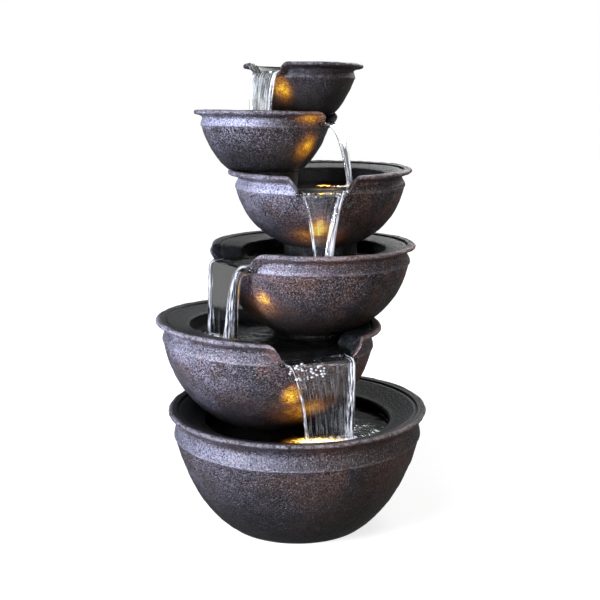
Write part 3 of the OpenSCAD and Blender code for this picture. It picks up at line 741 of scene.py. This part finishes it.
def pool_water(b):
    """A closed body of water: its rippled top, a tongue over the spout's floor, and its underside."""
    level = LEVELS[b.index]
    phi = np.linspace(-np.pi, np.pi, POOL_COLUMNS, endpoint=False)
    edge = np.full(POOL_COLUMNS, b.pool_r + (1.0 if b.is_basin else 2.0))
    lip_x = b.lip_r - 1.5
    if not b.is_basin:
        across = (b.half + 3.0) / np.maximum(np.abs(np.sin(phi)), 1e-3)
        reach = np.minimum(lip_x / np.maximum(np.cos(phi), 0.05), across)
        edge = np.where(np.cos(phi) > 0.05, np.maximum(edge, reach), edge)
    r = np.linspace(0.01, 1, POOL_ROWS)[:, None] * edge
    angle = phi + b.spout
    x, y = b.x + r * np.cos(angle), b.y + r * np.sin(angle)
    flat = np.stack([x, y, np.full(x.shape, float(level))], axis=-1)
    z = level + pool_waves(b, x, y, flat)
    under = np.full(x.shape, level - POOL_DEPTH)
    if not b.is_basin:
        channel = b.level_z(x, y, b.lip_z)
        tongue = smooth(lip_x - TONGUE, lip_x, r * np.cos(phi))
        z = z * (1 - tongue) + (channel + 2.2) * tongue + 0.25 * tongue * noise(flat, 4.0, 77)
        under = np.where(r > b.pool_r - 1, channel - 1.2, under)
    top = np.stack([x, y, z], axis=-1)
    bottom = np.stack([x, y, under], axis=-1)[::-1]
    points = np.concatenate([top, bottom[:1], bottom[1::4], bottom[-1:]], axis=0)[::-1]
    return ring_object(f"water_pool_{b.index + 1}", points)


def fall_course(b, s):
    """The middle of a falling sheet, row by row, how far each row has fallen, and its whole drop.

    s is each column's place from one edge, -1, to the other, 1."""
    # The landing's first end is on the side where s is -1.
    ends = [np.array(p, float) for p in LANDINGS[b.index]]
    if np.dot(ends[1] - ends[0], b.across) < 0:
        ends = ends[::-1]
    lip = b.lip_middle() + b.out * b.lip_r + b.across * (s[:, None] * (b.half - LIP_INSET))
    foot = ends[0] + (ends[1] - ends[0]) * ((s[:, None] + 1) / 2)
    lip_top = b.level_z(lip[:, 0], lip[:, 1], b.lip_z) + 0.7
    whole_drop = lip_top - (LEVELS[b.index - 1] - 2.5)
    centre = np.empty((FALL_ROWS, len(s), 3))
    fallen = np.empty((FALL_ROWS, len(s)))
    for i in range(CHANNEL_ROWS):
        back = CHANNEL_RUN * (1 - i / CHANNEL_ROWS)
        centre[i, :, :2] = lip - b.out * back
        centre[i, :, 2] = lip_top
        fallen[i] = -back
    for i in range(CHANNEL_ROWS, FALL_ROWS):
        q = (i - CHANNEL_ROWS) / (FALL_ROWS - 1 - CHANNEL_ROWS)
        drop = whole_drop * q ** 1.7
        # The water leaps a little clear of the lip, and then narrows to its foot.
        clear = 2.2 * (1 - np.exp(-drop / 1.6))[:, None] * (1 - q ** 3)
        centre[i, :, :2] = lip + (foot - lip) * q ** 0.85 + b.out * clear
        centre[i, :, 2] = lip_top - drop
        fallen[i] = drop
    return centre, fallen, whole_drop


def fall_water(b):
    """The falling sheet of one spout: a film between two thicker edges, down into the pool below."""
    s = np.linspace(-1, 1, FALL_COLUMNS)
    centre, fallen, whole_drop = fall_course(b, s)
    across_mm = s[None, :] * (b.half - LIP_INSET) + 0 * fallen
    width = np.linalg.norm(centre[:, -1, :2] - centre[:, 0, :2], axis=1)[:, None]
    share = np.clip(fallen / whole_drop, 0, 1)
    # Half thickness: a film, with beads along its edges that grow as the sheet narrows.
    bead = EDGE_BEADS[b.index]
    bead_r = np.where(s < 0, bead[0], bead[1]) * (0.75 + 0.4 * share)
    inward = (1 - np.abs(s)) * width / 2
    round_edge = np.clip(1 - (inward - bead_r) ** 2 / bead_r ** 2, 0, None) ** 0.5
    rim = round_edge * bead_r * (inward < 2 * bead_r)
    flow = np.stack([across_mm, fallen * 0.035, 0 * fallen + b.index * 7.0], axis=-1)
    streaks = noise(flow, 2.4, 91 + b.index) * 0.5 + noise(flow, 5.5, 95 + b.index) * 0.5
    film = (0.36 + 0.42 * streaks) * (0.6 + 0.4 * (1 - share))
    film = np.clip(film, 0.16, 0.9) * np.clip(inward / 0.8, 0, 1) ** 0.5
    half_t = np.maximum(film, rim * (0.85 + 0.3 * streaks)) + 0.02
    # The sheet wanders outwards and back as it falls.
    sway = np.stack([fallen * 0.2, s[None, :] * 5 + 0 * fallen, 0 * fallen], axis=-1)
    wander = 1.1 * noise(sway, 6.0, 41 + b.index)
    offset = (wander + 0.35 * streaks) * smooth(0.02, 0.3, share)
    # Its thickness is upright in the channel and level once the sheet hangs.
    turn = smooth(-1, 4, fallen)[..., None]
    outward = np.array([b.out[0], b.out[1], 0]) * turn + np.array([0, 0, 1.0]) * (1 - turn)
    outward = outward / np.linalg.norm(outward, axis=-1, keepdims=True)
    front = centre + outward * (half_t + offset)[..., None]
    rear = centre - outward * (half_t - offset)[..., None]
    loop = np.concatenate([front, rear[:, ::-1]], axis=1)
    edge_share = np.clip(rim / bead_r * (rim > film), 0, 1)
    marks = np.stack([across_mm / 100, fallen / 100, edge_share, share], axis=-1)
    marks = np.concatenate([marks, marks[:, ::-1]], axis=1)
    return ring_object(f"water_fall_{b.index + 1}", loop, {"flow": marks})


def spheres(name, places):
    """Small bubbles and drops in one mesh: (x, y, z, radius, squash) each."""
    rows, cols = 7, 10
    around = np.linspace(0, 2 * np.pi, cols, endpoint=False)
    verts, faces = [], []
    for x, y, z, r, squash in places:
        top = len(verts)
        verts.append((x, y, z + r * squash))
        for i in range(1, rows):
            up = np.pi / 2 - np.pi * i / rows
            ring_r, ring_z = r * math.cos(up), z + r * squash * math.sin(up)
            verts += [(x + ring_r * math.cos(a), y + ring_r * math.sin(a), ring_z) for a in around]
        verts.append((x, y, z - r * squash))
        bottom = len(verts) - 1
        last_ring = top + 1 + (rows - 2) * cols
        for c in range(cols):
            d = (c + 1) % cols
            faces.append([top, top + 1 + c, top + 1 + d])
            for p in range(top + 1, last_ring, cols):
                faces.append([p + c, p + cols + c, p + cols + d, p + d])
            faces.append([last_ring + c, bottom, last_ring + d])
    return mesh_object(name, verts, faces)


def still_water(name, glow_centre, glow_radii, power):
    """The water of a pool, with the warm light of its lamp in it."""
    s = Shader(name)
    small = s.math("MULTIPLY", s.noise(5.5, 3, 0.5, distort=0.4), 0.6)
    ripples = s.math("ADD", small, s.math("MULTIPLY", s.noise(16, 2), 0.8))
    s.set(Base_Color=(0.42, 0.47, 0.47), Roughness=0.02, Transmission_Weight=1.0, IOR=WATER_IOR)
    s.bump(ripples, 0.35, 0.8)
    near = s.steps(s.distance(glow_centre, glow_radii), 1.0, 0.3, 0.0, 1.0)
    bubbly = s.steps(s.cells(3.0), 0.15, 0.65, 0.35, 1.0)
    uneven = s.steps(s.noise(4.5, 4, 0.7), 0.30, 0.62, 0.45, 1.15)
    level = s.math("MULTIPLY", near, s.math("MULTIPLY", bubbly, uneven))
    s.emit(s.ramp(level, POOL_RAMP), power)
    return s.material


def falling_water(name, film_foam_and_highlight, edge_foam_and_highlight, tint_and_shade):
    """Clear water with pale streaks along its flow, mostly on the thick edges: foam with a painted
    highlight, which also glows faintly as painted light.
    """
    s = Shader(name)
    across, along, edge, _ = s.attribute("flow")
    where = s.nodes.new("ShaderNodeCombineXYZ")
    s.link(across, where.inputs[0])
    s.link(s.math("MULTIPLY", along, 0.045), where.inputs[1])
    lanes = s.noise(17, 4, 0.65, place=where.outputs[0])
    thin = s.noise(6, 3, 0.6, place=where.outputs[0])
    streak = s.math("ADD", s.math("MULTIPLY", lanes, 0.6), s.math("MULTIPLY", thin, 0.4))
    # Foam streaks, which also carry the painted highlight.
    foam = s.steps(streak, 0.50, 0.60)
    amount = s.math("ADD", s.math("MULTIPLY", edge, edge_foam_and_highlight), film_foam_and_highlight)
    share = s.math("MULTIPLY", foam, amount, clamp=True)
    # The clear film's tint, which for the third fall is almost black as painted shade.
    clear = s.mix(s.steps(thin, 0.35, 0.65), tuple(0.8 * c for c in tint_and_shade), tint_and_shade)
    s.set(Base_Color=s.mix(s.math("MAXIMUM", share, edge), clear, (0.90, 0.93, 1.0)), IOR=WATER_IOR,
          Transmission_Weight=s.math("SUBTRACT", 1.0, share, clamp=True),
          Roughness=s.math("ADD", s.math("MULTIPLY", share, 0.3), 0.02))
    # Painted light: the foam and highlight streaks glow faintly.
    s.emit(s.mix(share, (0, 0, 0), (0.78, 0.83, 1.0)), 0.42)
    s.bump(streak, 0.35, 0.5)
    return s.material


def clear_drop():
    """A bubble or drop, paler than the water below it, with a faint painted glow."""
    s = Shader("water_drop")
    s.set(Base_Color=s.mix(s.noise(2.5, 2), (0.93, 0.95, 1.0), (1, 1, 1)), Roughness=0.03,
          Transmission_Weight=0.75, IOR=WATER_IOR, Emission_Color=(0.85, 0.88, 1.0), Emission_Strength=0.12)
    s.bump(s.noise(1.5, 2), 0.1)
    return s.material


def place_water(piece, look, body):
    """Finishes a piece of water and lets it move with a body."""
    piece.data.materials.append(look)
    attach(piece, body)


# Radii of the beads on the two edges of each fall, the clockwise one first
EDGE_BEADS = [None, (1.7, 4.2), (3.4, 7.0), (1.7, 3.9), (2.0, 2.0), (1.8, 2.8)]
# How white the film and the edges of each fall are, with foam and painted highlight, and the tint of the
# clear film
FILMS = [
    None,
    (0.09, 0.95, (0.80, 0.82, 0.86)),
    # The third fall's clear film is tinted almost black, as painted shade for the dark behind it.
    (0.02, 1.0, (0.003, 0.003, 0.0035)),
    (0.05, 0.9, (0.86, 0.88, 0.92)),
    (0.3, 0.5, (0.90, 0.95, 0.95)),
    (0.35, 0.8, (0.88, 0.93, 0.93)),
]
# Of the light in each pool: its centre, its radii along the axes, and its power
POOL_GLOWS = [
    ((20, -56, 94), (37, 17, 6), 2.0),
    ((-60, -18, 177), (31, 15, 6), 1.5),
    ((22, -4, 251), (16, 8, 6), 0.8),
    ((44, 60, 320), (15, 9, 6), 1.5),
    ((-30, 68, 382), (16, 9, 6), 0.8),
    ((0, 110, 432), (1, 1, 1), 0.0),
]
for b in bowls:
    pool_look = still_water(f"pool_{b.index + 1}", *POOL_GLOWS[b.index])
    place_water(pool_water(b), pool_look, BODIES[b.index])
    if not b.is_basin:
        fall_look = falling_water(f"fall_{b.index + 1}", *FILMS[b.index])
        place_water(fall_water(b), fall_look, BODIES[b.index])

rng = np.random.default_rng(7)


def froth(k, count, spread, sizes):
    """Bubbles on the pool below, round the foot of the fall from bowl k."""
    left, right = (np.array(p, float) for p in LANDINGS[k])
    found = []
    for _ in range(count):
        p = left + (right - left) * rng.uniform(-0.08, 1.08) + rng.normal(0, spread, 2)
        r = rng.uniform(*sizes)
        found.append((p[0], p[1], LEVELS[k - 1] + 0.1 + 0.2 * r, r, SQUASH))
    return found


def lip_bubbles(k, count, low_share, high_share, fall_mm):
    """Bubbles that gather on the water at the lip of bowl k's spout, some of them already falling."""
    b = bowls[k]
    found = []
    for _ in range(count):
        share = rng.uniform(low_share, high_share)
        down = fall_mm * rng.uniform(0, 1) ** 1.6
        r = rng.uniform(0.5, 1.5)
        ahead = b.lip_r + 1.6 - 9 * rng.uniform(0, 1) * (down < 2)
        x, y = b.lip_middle() + b.out * ahead + b.across * (share * b.half)
        found.append((x, y, b.level_z(x, y, b.lip_z) + 1.4 - down, r, SQUASH))
    return found


# Of the bubbles at a lip: bowl, count, where across the spout, and how far some have fallen
LIP_BUBBLES = [(1, 46, -0.9, 0.1, 15), (3, 26, -0.8, 0.8, 3), (5, 14, -0.6, 0.6, 8)]
# Of the froth under a fall: the fall's bowl, count, spread, and the least and greatest radius
FROTHS = [
    (1, 90, 5.0, (0.6, 1.9)),
    (2, 60, 4.0, (0.5, 1.6)),
    (3, 40, 3.5, (0.5, 1.4)),
    (4, 36, 3.5, (0.5, 1.5)),
    (5, 36, 3.5, (0.5, 1.4)),
]
drop_look = clear_drop()
for k, *rest in LIP_BUBBLES:
    place_water(spheres(f"bubbles_{k + 1}", lip_bubbles(k, *rest)), drop_look, BODIES[k])
for k, *rest in FROTHS:
    place_water(spheres(f"froth_{k}", froth(k, *rest)), drop_look, BODIES[k - 1])

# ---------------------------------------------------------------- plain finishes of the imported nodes


def moulded(name, colour, roughness, grain_mm=0.8, depth=0.05, metallic=0.0, mottle=0.25):
    """A fine-grained moulded or drawn surface, a little mottled."""
    s = Shader(name)
    grain = s.noise(grain_mm, 3, 0.6)
    dark = tuple(c * (1 - mottle) for c in colour)
    light = tuple(min(1, c * (1 + mottle)) for c in colour)
    rough = s.steps(grain, 0.2, 0.8, roughness * 0.85, min(1, roughness * 1.2))
    s.set(Base_Color=s.mix(s.noise(14, 3, 0.5), dark, light), Roughness=rough, Metallic=metallic)
    s.bump(grain, depth, 0.6)
    return s.material


def lamp_board():
    """The lit emitters on their board."""
    s = Shader("lamp_board")
    s.set(Base_Color=(0.85, 0.84, 0.78), Roughness=0.4, Emission_Color=(1.0, 0.55, 0.12),
          Emission_Strength=4.0)
    s.bump(s.noise(0.8), 0.05)
    return s.material


def amber_lens():
    """The lamp's moulded amber lens, lit from behind."""
    s = Shader("amber_lens")
    tone = s.mix(s.noise(3.0, 2), (1.0, 0.48, 0.07), (1.0, 0.66, 0.18))
    s.set(Base_Color=tone, Roughness=0.25, Emission_Color=tone, Emission_Strength=5.0,
          Transmission_Weight=0.3)
    s.bump(s.cells(1.4), 0.15)
    return s.material


FINISHES = {
    "foam": moulded("closed_cell_foam", (0.02, 0.02, 0.02), 0.9, 1.2, 0.3),
    "rubber": moulded("rubber", (0.018, 0.018, 0.019), 0.62, 0.6, 0.05),
    "clear_hose": moulded("clear_hose", (0.62, 0.66, 0.68), 0.2, 2.0, 0.02),
    "pump_plastic": moulded("pump_plastic", (0.022, 0.023, 0.026), 0.42, 0.7, 0.06),
    "dial_plastic": moulded("dial_plastic", (0.42, 0.43, 0.45), 0.38, 0.7, 0.04),
    "white_plastic": moulded("white_plastic", (0.78, 0.77, 0.73), 0.35, 0.8, 0.03),
    "copper": moulded("copper_wire", (0.55, 0.22, 0.09), 0.3, 0.5, 0.12, 1.0),
    "ferrite": moulded("ferrite", (0.05, 0.048, 0.048), 0.5, 0.5, 0.05, 0.3),
    "shaft_ceramic": moulded("shaft_ceramic", (0.85, 0.85, 0.82), 0.18, 1.0, 0.01),
    "steel": moulded("steel", (0.6, 0.6, 0.62), 0.28, 0.4, 0.03, 1.0, 0.1),
    "lamp_plastic": moulded("lamp_plastic", (0.028, 0.028, 0.03), 0.4, 0.7, 0.05),
    "bronze_resin": bronze("bronze_pedestal", 0.5, 0.5, 1.0, 0.5),
    "lamp_board": lamp_board(),
    "amber_lens": amber_lens(),
}

SLOT_OF = {part["node"]: part["material_slot"] for part in frame["record"]["subparts"]}
for name, node in frame["nodes"].items():
    if name not in NAMES:
        node.data.materials.clear()
        node.data.materials.append(FINISHES[SLOT_OF[name]])

# ---------------------------------------------------------------- floor, light and camera


def paper():
    """Pale paper that brightens with distance from the fountain, so it has no edge."""
    s = Shader("floor")
    tone = s.mix(s.noise(900, 2), (0.42, 0.42, 0.425), (0.44, 0.44, 0.445))
    s.set(Base_Color=tone, Roughness=0.9, Emission_Color=(1.0, 1.0, 1.0), Specular_IOR_Level=0.0,
          Emission_Strength=s.steps(s.distance(BESIDE_BASIN), 200, 620, 0.74, 1.0))
    return s.material


def studio_world():
    """White where it is seen, directly or through water, and dim as a light."""
    world = bpy.data.worlds.new("studio")
    bpy.context.scene.world = world
    world.use_nodes = True
    nodes, link = world.node_tree.nodes, world.node_tree.links.new
    sky = nodes["Background"]
    sky.inputs["Color"].default_value = (1.0, 1.0, 1.0, 1)
    rays = nodes.new("ShaderNodeLightPath")
    seen = nodes.new("ShaderNodeMath")
    seen.operation = "MAXIMUM"
    link(rays.outputs["Is Camera Ray"], seen.inputs[0])
    link(rays.outputs["Is Transmission Ray"], seen.inputs[1])
    strength = nodes.new("ShaderNodeMapRange")
    strength.inputs["To Min"].default_value = 0.16
    strength.inputs["To Max"].default_value = 1.0
    link(seen.outputs[0], strength.inputs["Value"])
    link(strength.outputs["Result"], sky.inputs["Strength"])


def area(name, location, target_z, size, power, colour):
    """A soft light that looks at a height on the basin's axis."""
    light = bpy.data.lights.new(name, "AREA")
    light.shape = "RECTANGLE"
    light.size, light.size_y = size
    light.energy = power
    light.color = colour
    obj = bpy.data.objects.new(name, light)
    obj.location = location
    direction = Vector((0, 0, target_z)) - Vector(location)
    obj.rotation_euler = direction.to_track_quat("-Z", "Y").to_euler()
    bpy.context.scene.collection.objects.link(obj)


def make_camera(location, pitch_down, lens_mm):
    """The camera, which looks along +Y and a little down."""
    data = bpy.data.cameras.new("camera")
    data.lens = lens_mm
    data.sensor_width = 36.0
    data.clip_start, data.clip_end = 0.05, 60
    camera = bpy.data.objects.new("camera", data)
    camera.location = location
    camera.rotation_euler = (math.radians(90 - pitch_down), 0, 0)
    bpy.context.scene.collection.objects.link(camera)
    bpy.context.scene.camera = camera


# Middle of the floor's dim part, just behind the basin's axis
BESIDE_BASIN = (0, 60, 0)
bpy.ops.mesh.primitive_plane_add(size=14, location=(0, 0, 0))
floor = bpy.context.object
floor.name = "floor"
floor.data.materials.append(paper())
# The bright floor doesn't wash out the dark bowls.
floor.visible_diffuse = False
floor.visible_glossy = False

studio_world()
area("key", (-1.0, -0.78, 0.34), 0.22, (0.34, 0.6), 48, (0.84, 0.88, 1.0))
area("fill", (0.85, -0.95, 0.30), 0.22, (0.5, 0.7), 9, (1.0, 0.90, 0.82))
area("top", (-0.35, -0.5, 1.15), 0.3, (0.5, 0.5), 6, (0.86, 0.88, 1.0))
area("back", (0.5, 1.0, 0.9), 0.25, (0.9, 0.5), 9, (1.0, 1.0, 1.0))
make_camera(location=(0.0027, -0.9032, 0.3875), pitch_down=10.76, lens_mm=58.0)
bpy.context.scene.view_settings.view_transform = "Standard"
